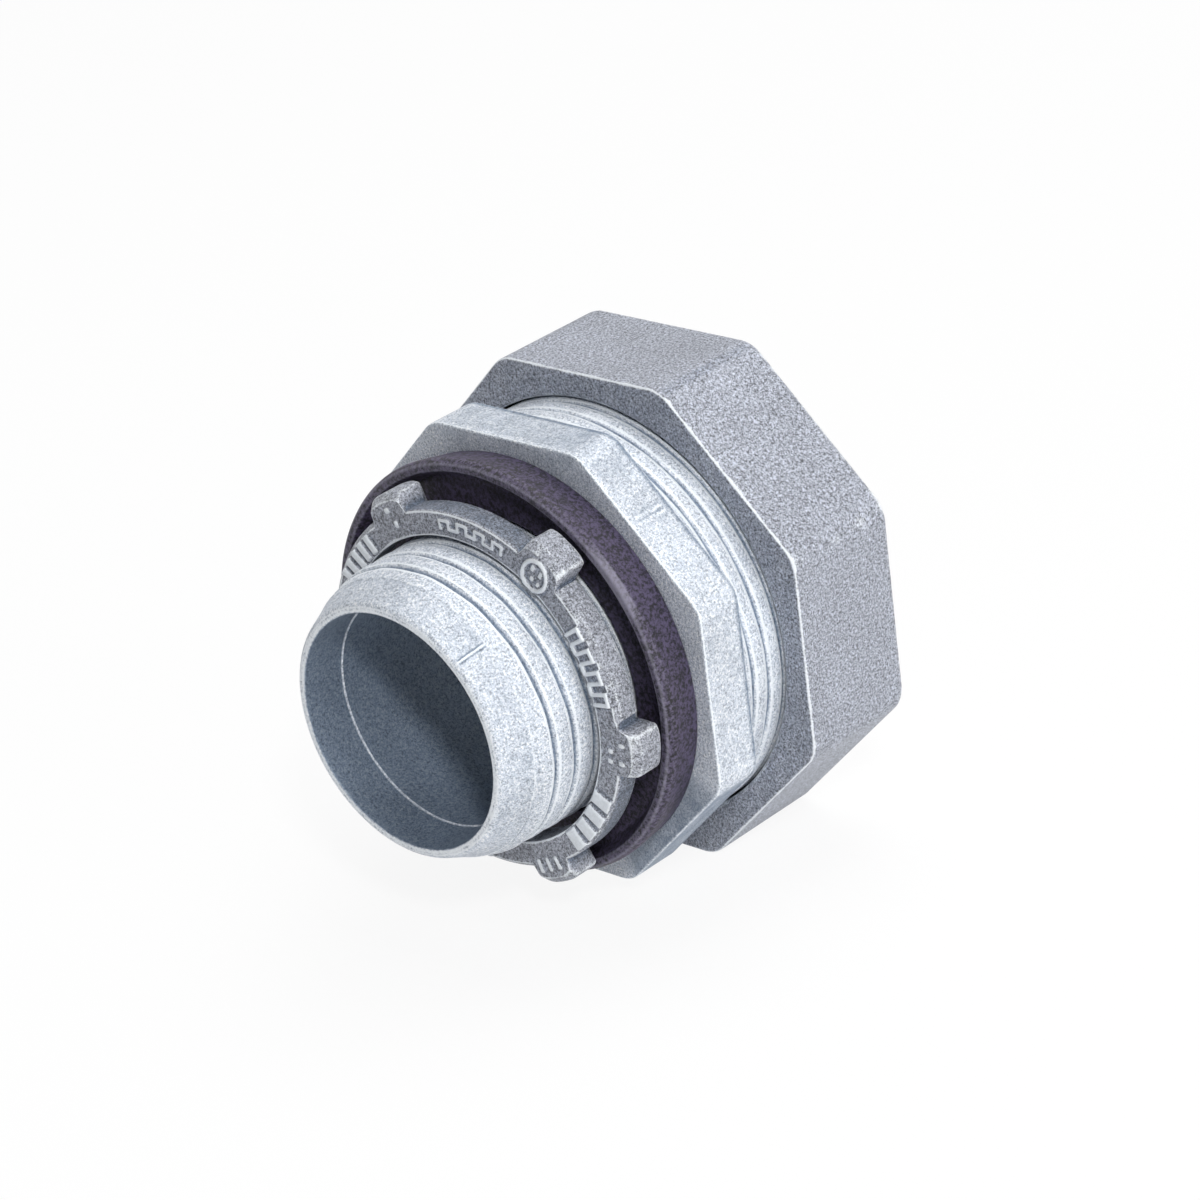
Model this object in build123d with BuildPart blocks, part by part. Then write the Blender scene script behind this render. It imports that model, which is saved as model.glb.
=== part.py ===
from build123d import *
from math import radians, sin, tan
import os

# Straight liquidtight conduit connector, trade size 1/2, in die-cast zinc, in millimetres.
# The bore's axis is X. +X points out of the threaded nose that goes through the wall of a box.
# The origin is on the axis, in the shoulder face that the gasket lies on.
# +Z is up, and a flat of each octagon is on top.

# Conduit that the connector takes.
conduit_outer_r = 10.55
conduit_inner_r = 8.0

# Threaded nose, which goes through the knockout. Walls are measured inwards from the crests.
hub_thread_r = 10.67
hub_wall = 2.57
nose_reach = 12.95
thread_runout = 0.35
nose_pitch = 1.814
nose_groove_width = 0.8
nose_groove_depth = 0.55
nose_groove_count = 5
nose_groove_end = 1.5
thread_chamfer = 0.47
pilot_length = 1.85
lip_rounding = 0.75
lip_shoulder = 0.45
lip_wall = 0.49
mouth_taper = 0.21
mouth_taper_depth = 3.3

# Octagonal collar, whose front face is the shoulder.
collar_step = 0.5
collar_width = 3.8
collar_corner_r = 7.0

# Gland thread at the rear, and the socket in it that takes the conduit's end.
gland_wall = 3.45
gland_length = 9.0
gland_end_chamfer = 0.5
gland_pitch = 1.5
gland_groove_width = 0.7
gland_groove_depth = 0.5
gland_groove_count = 5
gland_groove_start = 1.25
gland_rim = 0.55
seat_depth = 2.2
entry_cone_deg = 50.0

# Compression nut.
nut_wall = 1.9
nut_corner_r = 2.2
nut_standoff = 3.9
nut_front_chamfer = 0.25
nut_rear_edge_r = 0.4
nut_end_wall = 1.2
conduit_entry_chamfer = 0.4

# Sealing ring, which the nut presses into the entry cone.
ring_step = 0.05
ring_land = 0.7
ring_tip = 0.45

# Ferrule, which goes over and into the cut end of the conduit.
sleeve_length = 11.2
skirt_length = 6.6
ferrule_wall = 0.7
ferrule_rim = 0.3

# Gasket, dished so that its rim stands round the back of the locknut.
gasket_margin = 0.85
gasket_thickness = 3.1
gasket_flare = 0.3
gasket_edge = 0.25
gasket_edge_depth = 0.5
gasket_rim_width = 0.5
gasket_recess_depth = 1.2
gasket_recess_slope = 0.6

# Locknut.
panel_room = 0.25
locknut_thickness = 2.1
locknut_wall = 1.88
locknut_bevel = 0.45
pad_count = 3
pad_step = 0.15
pad_width = 9.2
pad_turn_deg = 24.5
lug_count = 6
lug_margin = 0.55
lug_draft = 0.55
lug_width = 3.6
lug_depth = 2.6
lug_corner = 0.4
lug_turn_deg = -5.5

# Clearances.
thread_gap = 0.15
cone_gap = 0.06
socket_gap = 0.25
seat_gap = 0.02
gasket_gap = 0.12
sleeve_gap = 0.1
skirt_gap = 0.1
ring_bore_gap = 0.2
entry_gap = 0.65

# Radii that follow from the sizes above.
throat_r = hub_thread_r - hub_wall
mouth_r = throat_r + mouth_taper
lip_r = mouth_r + lip_wall
pilot_tip_r = lip_r + lip_shoulder
pilot_r = hub_thread_r - thread_chamfer
sleeve_r = conduit_inner_r - sleeve_gap
skirt_r = conduit_outer_r + skirt_gap + ferrule_wall
socket_r = skirt_r + socket_gap
gland_thread_r = socket_r + gland_wall
cone_mouth_r = gland_thread_r - gland_end_chamfer - gland_rim
ring_bore_r = conduit_outer_r + ring_bore_gap
ring_tip_r = ring_bore_r + ring_tip
ring_r = cone_mouth_r + ring_step
conduit_entry_r = conduit_outer_r + entry_gap
nut_thread_r = gland_thread_r + thread_gap
nut_across_flats = 2 * (nut_thread_r + nut_wall)
collar_across_flats = 2 * (gland_thread_r + collar_step)
gasket_r = collar_across_flats / 2 - gasket_margin
gasket_bore_r = hub_thread_r + gasket_gap
gasket_foot_r = gasket_r - gasket_flare
gasket_rim_r = gasket_r - gasket_edge
gasket_recess_r = gasket_rim_r - gasket_rim_width - gasket_recess_slope
locknut_bore_r = hub_thread_r + thread_gap
locknut_r = locknut_bore_r + locknut_wall
lug_tip_r = gasket_r - lug_margin
pad_r = locknut_r + pad_step

# Places along the axis that follow from the sizes above.
pilot_start = nose_reach - pilot_length
lip_start = nose_reach - lip_rounding
thread_end = pilot_start - thread_runout
gland_end = -collar_width - gland_length
cone_slope = tan(radians(entry_cone_deg))
cone_start = gland_end + (cone_mouth_r - socket_r) / cone_slope
cone_axial_gap = cone_gap / sin(radians(entry_cone_deg))
ring_shoulder = gland_end - ring_step / cone_slope - cone_axial_gap
ring_bevel_length = (ring_r - ring_tip_r) / cone_slope
ring_back = ring_shoulder - ring_land - ring_bevel_length
ferrule_front = -seat_depth - seat_gap
nut_front = -collar_width - nut_standoff
nut_cone_start = ring_back - cone_axial_gap
nut_cone_front = nut_cone_start + (nut_thread_r - conduit_entry_r) / cone_slope
nut_rear = nut_cone_start - nut_end_wall
gasket_recess = gasket_thickness - gasket_recess_depth
lug_back = gasket_thickness + panel_room
locknut_front = lug_back + lug_depth
locknut_back = locknut_front - locknut_thickness


def octagon(across_flats, corner_r):
    """Add an octagon with a flat on top and rounded corners to the open sketch."""
    shape = RegularPolygon(across_flats / 2, 8, major_radius=False, rotation=22.5)
    fillet(shape.vertices(), corner_r)


def grooves(first, pitch, count, crest_r, width, depth):
    """Give the profile points of a thread's V grooves, as rings, going towards +X."""
    return [
        (first + turn * pitch + across, crest_r - drop)
        for turn in range(count)
        for across, drop in ((-width / 2, 0), (0, depth), (width / 2, 0))
    ]


nose_grooves = grooves(
    thread_end - nose_groove_end - (nose_groove_count - 1) * nose_pitch,
    nose_pitch, nose_groove_count, hub_thread_r, nose_groove_width, nose_groove_depth,
)
gland_grooves = grooves(
    -collar_width - gland_groove_start - (gland_groove_count - 1) * gland_pitch,
    gland_pitch, gland_groove_count, gland_thread_r, gland_groove_width, gland_groove_depth,
)

os.makedirs("parts", exist_ok=True)

# Body: one zinc casting with nose, collar, gland thread and a stepped bore.
with BuildPart() as body:
    with BuildSketch(Plane.YZ):
        octagon(collar_across_flats, collar_corner_r)
    extrude(amount=-collar_width)
    with BuildSketch(Plane.XZ):
        with BuildLine():
            Polyline(
                (gland_end, 0),
                (gland_end, gland_thread_r - gland_end_chamfer),
                (gland_end + gland_end_chamfer, gland_thread_r),
                *gland_grooves,
                (-collar_width, gland_thread_r),
                (-collar_width, hub_thread_r),
                *nose_grooves,
                (thread_end, hub_thread_r),
                (pilot_start, pilot_r),
                (lip_start, pilot_tip_r),
            )
            RadiusArc((lip_start, pilot_tip_r), (nose_reach, lip_r), lip_rounding)
            Polyline((nose_reach, lip_r), (nose_reach, 0), (gland_end, 0))
        make_face()
    revolve(axis=Axis.X)
    with BuildSketch(Plane.XZ):
        with BuildLine():
            Polyline(
                (gland_end, 0),
                (gland_end, cone_mouth_r),
                (cone_start, socket_r),
                (-seat_depth, socket_r),
                (-seat_depth, throat_r),
                (nose_reach - mouth_taper_depth, throat_r),
                (nose_reach, mouth_r),
                (nose_reach, 0),
                close=True,
            )
        make_face()
    revolve(axis=Axis.X, mode=Mode.SUBTRACT)
body.part.label = "body"
export_step(body.part, "parts/body.step")

# Ferrule: a pressed steel cup with an inner sleeve, seated against the end of the throat.
with BuildPart() as ferrule:
    with BuildSketch(Plane.XZ):
        with BuildLine():
            Polyline(
                (ferrule_front, sleeve_r - ferrule_wall),
                (ferrule_front, skirt_r),
                (ferrule_front - skirt_length, skirt_r),
                (ferrule_front - skirt_length, skirt_r - ferrule_wall),
                (ferrule_front - ferrule_wall, skirt_r - ferrule_wall),
                (ferrule_front - ferrule_wall, sleeve_r),
                (ferrule_front - sleeve_length, sleeve_r),
                (ferrule_front - sleeve_length, sleeve_r - ferrule_wall),
                close=True,
            )
        make_face()
    revolve(axis=Axis.X)
    front_rims = ferrule.edges().filter_by(GeomType.CIRCLE).group_by(Axis.X)[-1]
    chamfer(front_rims, ferrule_rim)
ferrule.part.label = "ferrule"
export_step(ferrule.part, "parts/ferrule.step")

# Sealing ring: nylon, bevelled at both ends to match the cones of the body and the nut.
with BuildPart() as sealing_ring:
    with BuildSketch(Plane.XZ):
        with BuildLine():
            Polyline(
                (ring_shoulder + ring_bevel_length, ring_bore_r),
                (ring_shoulder + ring_bevel_length, ring_tip_r),
                (ring_shoulder, ring_r),
                (ring_shoulder - ring_land, ring_r),
                (ring_back, ring_tip_r),
                (ring_back, ring_bore_r),
                close=True,
            )
        make_face()
    revolve(axis=Axis.X)
sealing_ring.part.label = "sealing_ring"
export_step(sealing_ring.part, "parts/sealing_ring.step")

# Compression nut: an octagonal cap whose inner cone bears on the sealing ring.
with BuildPart() as compression_nut:
    with BuildSketch(Plane.YZ.offset(nut_rear)):
        octagon(nut_across_flats, nut_corner_r)
    extrude(amount=nut_front - nut_rear)
    fillet(compression_nut.faces().sort_by(Axis.X)[0].edges(), nut_rear_edge_r)
    with BuildSketch(Plane.XZ):
        with BuildLine():
            Polyline(
                (nut_rear, 0),
                (nut_rear, conduit_entry_r + conduit_entry_chamfer),
                (nut_rear + conduit_entry_chamfer, conduit_entry_r),
                (nut_cone_start, conduit_entry_r),
                (nut_cone_front, nut_thread_r),
                (nut_front - nut_front_chamfer, nut_thread_r),
                (nut_front, nut_thread_r + nut_front_chamfer),
                (nut_front, 0),
                close=True,
            )
        make_face()
    revolve(axis=Axis.X, mode=Mode.SUBTRACT)
compression_nut.part.label = "compression_nut"
export_step(compression_nut.part, "parts/compression_nut.step")

# Gasket: a moulded rubber ring between the shoulder and the wall of the box.
with BuildPart() as gasket:
    with BuildSketch(Plane.XZ):
        with BuildLine():
            Polyline(
                (0, gasket_bore_r),
                (gasket_recess, gasket_bore_r),
                (gasket_recess, gasket_recess_r),
                (gasket_thickness, gasket_rim_r - gasket_rim_width),
                (gasket_thickness, gasket_rim_r),
                (gasket_thickness - gasket_edge_depth, gasket_r),
                (0, gasket_foot_r),
                close=True,
            )
        make_face()
    revolve(axis=Axis.X)
gasket.part.label = "gasket"
export_step(gasket.part, "parts/gasket.step")

# Locknut: a cast ring with six lugs that a screwdriver is set against, and three pads between them.
with BuildPart() as locknut:
    with BuildSketch(Plane.YZ.offset(lug_back)) as locknut_lugs:
        with PolarLocations(0, lug_count, start_angle=lug_turn_deg):
            Rectangle(lug_tip_r, lug_width, align=(Align.MIN, Align.CENTER))
        tips = [point for point in locknut_lugs.vertices() if point.Y**2 + point.Z**2 > locknut_r**2]
        chamfer(tips, lug_corner)
    extrude(amount=lug_depth)
    with BuildSketch(Plane.XZ):
        with BuildLine():
            Polyline(
                (lug_back, 0),
                (lug_back, lug_tip_r),
                (locknut_front, lug_tip_r - lug_draft),
                (locknut_front, 0),
                close=True,
            )
        make_face()
    revolve(axis=Axis.X, mode=Mode.INTERSECT)
    with BuildSketch(Plane.YZ.offset(locknut_back)):
        with PolarLocations(0, pad_count, start_angle=pad_turn_deg):
            Rectangle(pad_r, pad_width, align=(Align.MIN, Align.CENTER))
        Circle(pad_r, mode=Mode.INTERSECT)
    extrude(amount=locknut_thickness)
    with BuildSketch(Plane.XZ):
        with BuildLine():
            Polyline(
                (locknut_back, 0),
                (locknut_back, locknut_r),
                (locknut_front - locknut_bevel, locknut_r),
                (locknut_front, locknut_r - locknut_bevel),
                (locknut_front, 0),
                close=True,
            )
        make_face()
    revolve(axis=Axis.X)
    with BuildSketch(Plane.YZ.offset(locknut_front)):
        Circle(locknut_bore_r)
    extrude(amount=-lug_depth, mode=Mode.SUBTRACT)
    with BuildSketch(Plane.YZ.offset(lug_back)):
        Circle(locknut_r - locknut_wall / 2)
    extrude(amount=lug_depth - locknut_thickness, mode=Mode.SUBTRACT)
locknut.part.label = "locknut"
export_step(locknut.part, "parts/locknut.step")
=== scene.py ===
import math

import bpy
import numpy as np
from bpy.props import FloatProperty, FloatVectorProperty, PointerProperty
from mathutils import Matrix, Vector


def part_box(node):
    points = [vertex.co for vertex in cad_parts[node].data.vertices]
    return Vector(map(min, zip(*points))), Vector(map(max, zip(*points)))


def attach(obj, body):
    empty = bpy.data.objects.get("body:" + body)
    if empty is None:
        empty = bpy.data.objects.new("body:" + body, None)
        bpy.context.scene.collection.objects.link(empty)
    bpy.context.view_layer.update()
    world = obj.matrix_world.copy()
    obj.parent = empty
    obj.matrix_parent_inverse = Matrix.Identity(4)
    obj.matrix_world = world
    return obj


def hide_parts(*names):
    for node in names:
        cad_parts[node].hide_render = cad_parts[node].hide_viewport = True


bl_info = {
    "name": "Liquidtight conduit connector",
    "version": (1, 0, 0),
    "blender": (4, 5, 0),
    "location": "View3D > Sidebar > Connector",
    "description": "Dresses the straight liquidtight conduit connector and sets its studio stage",
    "category": "Object",
}

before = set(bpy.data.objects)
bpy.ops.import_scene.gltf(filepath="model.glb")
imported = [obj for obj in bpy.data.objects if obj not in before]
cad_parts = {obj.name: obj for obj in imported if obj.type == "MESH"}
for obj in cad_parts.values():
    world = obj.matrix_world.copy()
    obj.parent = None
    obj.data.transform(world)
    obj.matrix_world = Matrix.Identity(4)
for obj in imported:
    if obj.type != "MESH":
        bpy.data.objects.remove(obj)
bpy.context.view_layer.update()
MM = 0.001

BODY_LOW, BODY_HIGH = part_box("body")
NUT_LOW, NUT_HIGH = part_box("compression_nut")
LOCKNUT_LOW, LOCKNUT_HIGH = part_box("locknut")
_, GASKET_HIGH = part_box("gasket")

HALF_TURN = math.pi
FULL_TURN = 2 * math.pi
OCTAGON_SIDES = 8
SECTOR = FULL_TURN / OCTAGON_SIDES
PAD_SPACING = FULL_TURN / 3
PARTING_LINE = math.radians(45.0)
COLLAR_RIBS = (math.radians(46.6), math.radians(48.2))

EDGE_BLUR = 0.07 * MM
# Colours for wear and painted highlight on zinc, for dirt and painted shade on zinc, and for wear and
# painted highlight on rubber.
ZINC_WEAR_AND_HIGHLIGHT = (0.88, 0.92, 0.96, 1.0)
DIRT_AND_SHADE_TINT = (0.35, 0.41, 0.485, 1.0)
RUBBER_WEAR_AND_HIGHLIGHT = (0.36, 0.35, 0.44, 1.0)
ZINC_METALLIC = 0.2

# Rows of raised bars on the locknut's face: middle in degrees, count, step in degrees, width as a share
# of the bar width, inner and outer radius in mm, height as a share of the bar height.
BAR_ROWS = (
    (-38.8, 4, 7.2, 1.8, 11.0, 12.6, 1.0),
    (140.0, 5, 4.6, 0.95, 11.0, 12.6, 1.0),
    (255.0, 5, 6.0, 0.9, 10.95, 12.62, 1.0),
    (203.0, 6, 5.0, 0.6, 11.2, 12.5, 0.8),
    (-67.5, 3, 4.0, 0.45, 12.1, 13.2, 0.8),
    (-7.0, 2, 6.0, 0.5, 12.6, 13.2, 0.8),
    (-9.0, 2, 3.6, 0.6, 11.7, 12.2, 0.8),
    (115.5, 1, 1.0, 0.8, 12.8, 13.3, 0.8),
    (54.0, 2, 3.4, 0.5, 12.3, 12.9, 0.8),
    (53.0, 2, 3.0, 0.5, 11.6, 12.0, 0.8),
    (114.0, 1, 1.0, 0.6, 11.7, 12.3, 0.8),
    (174.5, 2, 4.6, 0.7, 12.2, 13.2, 0.8),
    (234.5, 2, 4.6, 0.7, 12.2, 13.2, 0.8),
)
# Rows of bars joined into arches: middle, count, step, inner and outer radius, height.
ARCH_ROWS = (
    (21.0, 8, 3.6, 11.0, 12.5, 1.0),
    (81.0, 8, 3.7, 11.4, 12.3, 0.55),
)
ARCH_BAR_WIDTH = 0.5

# Lights: name, azimuth and elevation in degrees, width and height in metres, level.
LIGHTS = (
    ("key_light", 92.0, 5.5, 0.22, 0.12, 0.30),
    ("top_light", 180.0, 74.0, 0.40, 0.40, 0.56),
    ("fill_light", 53.0, 39.0, 0.06, 0.06, 0.41),
)
LIGHT_REACH = 0.55
FLOOR_HALF_WIDTH = 4.0
FLOOR_GLOW = 0.9


def distance(name, description, default_mm):
    """A length property that is shown in the scene's units."""
    return FloatProperty(
        name=name, description=description, default=default_mm * MM, min=0.0,
        unit="LENGTH", subtype="DISTANCE", precision=5,
    )


def colour(name, description, default):
    """A colour property without alpha."""
    return FloatVectorProperty(
        name=name, description=description, default=default, size=3,
        min=0.0, max=1.0, subtype="COLOR",
    )


class ConnectorBodySettings(bpy.types.PropertyGroup):
    """Sizes of the cast body that the solids leave plain."""

    crest_r: distance("Nose thread radius", "Radius over the nose thread's crests at the shoulder", 10.56)
    lead_r: distance("Lead radius", "Radius over the crests where the thread's lead cone starts", 10.3)
    lead_start: distance("Lead start", "Where the lead cone starts, from the shoulder", 9.45)
    nose_pitch: distance("Nose thread pitch", "Travel of one turn of the nose thread", 1.814)
    nose_depth: distance("Nose thread depth", "Height from root to crest of the nose thread", 0.5)
    nose_lead: distance("Nose thread lead", "Shift of the nose thread along the axis", 0.93)
    thread_end: distance("Nose thread end", "Where the nose thread runs out, from the shoulder", 10.7)
    pilot_r: distance("Pilot radius", "Radius of the conical pilot beside the thread", 9.82)
    pilot_tip_r: distance("Pilot tip radius", "Radius of the pilot beside the lip", 9.0)
    lip_length: distance("Lip length", "Length of the rounded lip at the mouth", 0.2)
    lip_r: distance("Lip radius", "Radius of the lip's outer edge at the mouth", 8.74)
    mouth_r: distance("Mouth radius", "Radius of the bore at the mouth", 8.31)
    throat_r: distance("Throat radius", "Radius of the throat", 8.1)
    mouth_depth: distance("Mouth depth", "Depth of the mouth's taper", 3.3)
    seat_depth: distance("Seat depth", "Depth of the ferrule's seat behind the shoulder", 2.2)
    socket_r: distance("Socket radius", "Radius of the socket for the conduit's end", 11.6)
    collar_width: distance("Collar width", "Length of the octagonal collar", 3.8)
    collar_corner_r: distance("Collar corner radius", "Rounding of the collar's corners", 2.2)
    gland_crest_r: distance("Gland thread radius", "Radius over the crests of the gland thread", 15.05)
    gland_pitch: distance("Gland thread pitch", "Travel of one turn of the gland thread", 1.5)
    gland_depth: distance("Gland thread depth", "Height from root to crest of the gland thread", 0.4)
    gland_lead: distance("Gland thread lead", "Shift of the gland thread along the axis", 1.19)
    cone_mouth_r: distance("Entry cone radius", "Radius of the entry cone at the rear end", 14.0)
    cone_length: distance("Entry cone length", "Length of the entry cone", 2.01)
    seam_height: distance("Parting line height", "Height of the casting's parting line", 0.06)


class CompressionNutSettings(bpy.types.PropertyGroup):
    """Sizes of the compression nut that the solids leave plain."""

    corner_r: distance("Corner radius", "Rounding of the octagon's corners", 2.4)
    front_bevel: distance("Front edge", "Rounding of the octagon's front edge", 0.2)
    rear_bevel: distance("Rear edge", "Rounding of the octagon's rear edge", 0.45)
    opening_r: distance("Opening radius", "Radius of the chamfered opening at the front", 15.45)
    thread_r: distance("Thread radius", "Radius at the root of the inner thread", 15.2)
    thread_depth: distance("Thread depth", "Height of the inner thread", 0.1)
    entry_r: distance("Conduit entry radius", "Radius of the hole for the conduit", 11.2)
    floor_depth: distance("Floor thickness", "Thickness of the wall at the nut's rear end", 1.2)
    cone_length: distance("Cone length", "Length of the cone that bears on the sealing ring", 3.36)


class LocknutSettings(bpy.types.PropertyGroup):
    """Sizes of the locknut that the solids leave plain."""

    bore_r: distance("Bore radius", "Radius of the bore over the nose thread", 10.92)
    ring_r: distance("Ring radius", "Radius of the ring between the lugs", 12.7)
    pad_step: distance("Pad height", "Height of the three pads over the ring", 0.15)
    lug_r: distance("Lug radius", "Radius over the lugs", 14.15)
    lug_bevel: distance("Lug bevel", "Rounding of a lug's outer front edge", 0.5)
    lug_width: distance("Lug width", "Width of one lug", 3.6)
    ring_thickness: distance("Ring thickness", "Thickness of the ring between the lugs", 2.1)
    pad_bevel: distance("Pad bevel", "Bevel of a pad's front edge", 0.36)
    edge_r: distance("Edge rounding", "Rounding of the outer edges", 0.2)
    bar_height: distance("Bar height", "Height of the raised bars on the face", 0.24)
    bar_width: distance("Bar width", "Width of one raised bar", 0.66)
    lug_turns: FloatVectorProperty(
        name="Lug angles", description="Turns of the six lugs from the Y axis, a little uneven as cast",
        default=[math.radians(turn) for turn in (-7.0, 54.2, 116.5, 174.5, 234.5, -67.3)], size=6,
        unit="ROTATION",
    )
    drop: distance("Drop", "How far the loose locknut hangs below the axis", 0.2)
    pad_turn: FloatProperty(
        name="Pad angle", description="Turn of the first pad's middle from the Y axis",
        default=math.radians(24.5), subtype="ANGLE", unit="ROTATION",
    )
    pad_half: FloatProperty(
        name="Pad half width", description="Half of the angle that a pad covers",
        default=math.radians(21.5), subtype="ANGLE", unit="ROTATION",
    )


class GasketSettings(bpy.types.PropertyGroup):
    """Sizes of the moulded gasket."""

    bore_r: distance("Bore radius", "Radius of the gasket's bore", 10.79)
    recess_r: distance("Recess radius", "Radius of the recess's flat floor", 13.3)
    crest_low_r: distance("Crest inner radius", "Inner radius of the crest against the box", 13.92)
    crest_high_r: distance("Crest outer radius", "Outer radius of the crest", 14.42)
    side_r: distance("Side radius", "Radius of the side behind the crest", 14.7)
    foot_r: distance("Foot radius", "Radius of the side at the shoulder", 14.42)
    recess_depth: distance("Recess depth", "Depth of the recess's floor below the crest", 1.25)
    crest_drop: distance("Crest edge", "Depth of the crest's outer edge", 0.5)
    sag: distance("Sag", "How far the soft rim has spread on its upper left", 0.3)


class ConnectorFinishSettings(bpy.types.PropertyGroup):
    """Colours of the finishes."""

    body_zinc: colour("Body zinc", "Die-cast zinc of the body", (0.63, 0.69, 0.785))
    nut_zinc: colour("Nut zinc", "Die-cast zinc of the compression nut", (0.345, 0.365, 0.42))
    locknut_zinc: colour("Locknut zinc", "Die-cast zinc of the locknut", (0.31, 0.325, 0.37))
    rubber: colour("Gasket rubber", "Dark violet rubber of the gasket", (0.025, 0.020, 0.039))
    nylon: colour("Nylon", "Natural nylon of the sealing ring", (0.78, 0.77, 0.72))
    plated: colour("Plated steel", "Zinc-plated steel of the ferrule", (0.55, 0.56, 0.55))


class ConnectorStageSettings(bpy.types.PropertyGroup):
    """Camera, floor and lights of the stage."""

    camera_azimuth: FloatProperty(
        name="Camera azimuth", description="Direction from which the camera looks",
        default=math.radians(134.81), subtype="ANGLE", unit="ROTATION",
    )
    camera_elevation: FloatProperty(
        name="Camera elevation", description="Height of the camera above the horizon",
        default=math.radians(24.74), subtype="ANGLE", unit="ROTATION",
    )
    camera_roll: FloatProperty(
        name="Camera roll", description="Turn of the camera about its line of sight",
        default=math.radians(-7.51), subtype="ANGLE", unit="ROTATION",
    )
    camera_distance: distance("Camera distance", "From the aim point to the camera", 282.72)
    camera_aim: FloatVectorProperty(
        name="Camera aim", description="Point that the camera looks at, in metres",
        default=(-0.004718, 0.002244, 0.002369), size=3, subtype="XYZ", unit="LENGTH",
    )
    lens: FloatProperty(
        name="Lens", description="Focal length in millimetres on a 36 mm sensor",
        default=127.82, min=20.0, unit="CAMERA",
    )
    floor_colour: colour("Floor", "Colour of the floor", (0.9, 0.9, 0.9))


# Mesh helpers.


def angles_round(uniform, clusters=()):
    """Angles round the axis from 0 to a full turn, without the end: equal steps, and the angles of
    each cluster (centre, half width, count) laid evenly across its width."""
    parts = [np.arange(uniform) * FULL_TURN / uniform]
    parts += [np.linspace(centre - half, centre + half, count) for centre, half, count in clusters]
    merged = np.sort(np.concatenate(parts) % FULL_TURN)
    apart = np.diff(merged, append=merged[0] + FULL_TURN) > math.radians(0.04)
    return merged[apart]


def octagon_radius(angles, half_flats, corner_r):
    """Radius of an octagon with a flat on top, at each angle: the flat's distance over the cosine of
    the angle from its middle, and near a corner the far crossing of the ray with the corner's circle."""
    off_flat = np.abs((angles + SECTOR / 2) % SECTOR - SECTOR / 2)
    centre = (half_flats - corner_r) / math.cos(SECTOR / 2)
    tangent = math.atan((half_flats - corner_r) * math.tan(SECTOR / 2) / half_flats)
    off_corner = SECTOR / 2 - off_flat
    under_root = np.maximum(corner_r**2 - (centre * np.sin(off_corner)) ** 2, 0.0)
    on_circle = centre * np.cos(off_corner) + np.sqrt(under_root)
    return np.where(off_flat <= tangent, half_flats / np.cos(off_flat), on_circle)


def octagon_clusters(half_flats, corner_r):
    """A cluster of angles over each rounded corner of an octagon, a little wider than its arc."""
    half = SECTOR / 2 - math.atan((half_flats - corner_r) * math.tan(SECTOR / 2) / half_flats)
    return [((k + 0.5) * SECTOR, 1.25 * half, 13) for k in range(OCTAGON_SIDES)]


def ring(x, r, angles):
    """One station of a profile, as rows of (x, r), one for each angle. Either may vary round the axis."""
    return np.stack(np.broadcast_arrays(x + 0 * angles, r + 0 * angles), axis=-1)


def rounded(parts, steps=4):
    """A closed profile with rounded edges, from pairs of a station and its rounding. Each station with
    a rounding becomes a quadratic curve from a point on the run before it to a point on the run after
    it, with a spare point beyond each end, so that the runs stay flat in smooth shading."""
    stations, roundings = zip(*parts)
    rows = []
    count = len(stations)
    for k, (here, size) in enumerate(zip(stations, roundings)):
        if size == 0:
            rows.append(here)
            continue
        before = stations[k - 1][-1] if stations[k - 1].ndim == 3 else stations[k - 1]
        after_station = stations[(k + 1) % count]
        after = after_station[0] if after_station.ndim == 3 else after_station
        back, ahead = before - here, after - here
        back_length = np.linalg.norm(back, axis=-1, keepdims=True)
        ahead_length = np.linalg.norm(ahead, axis=-1, keepdims=True)
        reach_back = np.minimum(size, 0.4 * back_length)
        reach_ahead = np.minimum(size, 0.4 * ahead_length)
        start = here + back / back_length * reach_back
        end = here + ahead / ahead_length * reach_ahead
        rows.append(here + back / back_length * reach_back * 1.15)
        for t in np.linspace(0, 1, steps + 1):
            rows.append((1 - t) ** 2 * start + 2 * t * (1 - t) * here + t**2 * end)
        rows.append(here + ahead / ahead_length * reach_ahead * 1.15)
    return np.concatenate([row if row.ndim == 3 else row[None] for row in rows])


def smooth_step(value, low, high):
    """0 below low, 1 above high, and the smooth cubic between them."""
    t = np.clip((value - low) / (high - low), 0.0, 1.0)
    return t * t * (3 - 2 * t)


def from_angle(angle, centre):
    """The angle from a centre angle, between minus and plus half a turn."""
    return (angle - centre + HALF_TURN) % FULL_TURN - HALF_TURN


def near_angle(angles, centre, inside, outside):
    """1 closer to a centre angle than the inside angle, and 0 beyond the outside one."""
    return 1 - smooth_step(np.abs(from_angle(angles, centre)), inside, outside)


def off_groove(x, angles, pitch, lead):
    """How far a point is from the middle of a right-hand thread's groove, as a share of the pitch: the
    sum of the place along the axis and the lead over the pitch, less the angle over a full turn."""
    return np.abs(((x + lead) / pitch - angles / FULL_TURN) % 1.0 - 0.5)


def groove_worth(x, angles, thread):
    """1 in the groove of a thread, given by its pitch and lead, and 0 on its crest."""
    return 1 - smooth_step(off_groove(x, angles, *thread), 0.02, 0.14)


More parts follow.
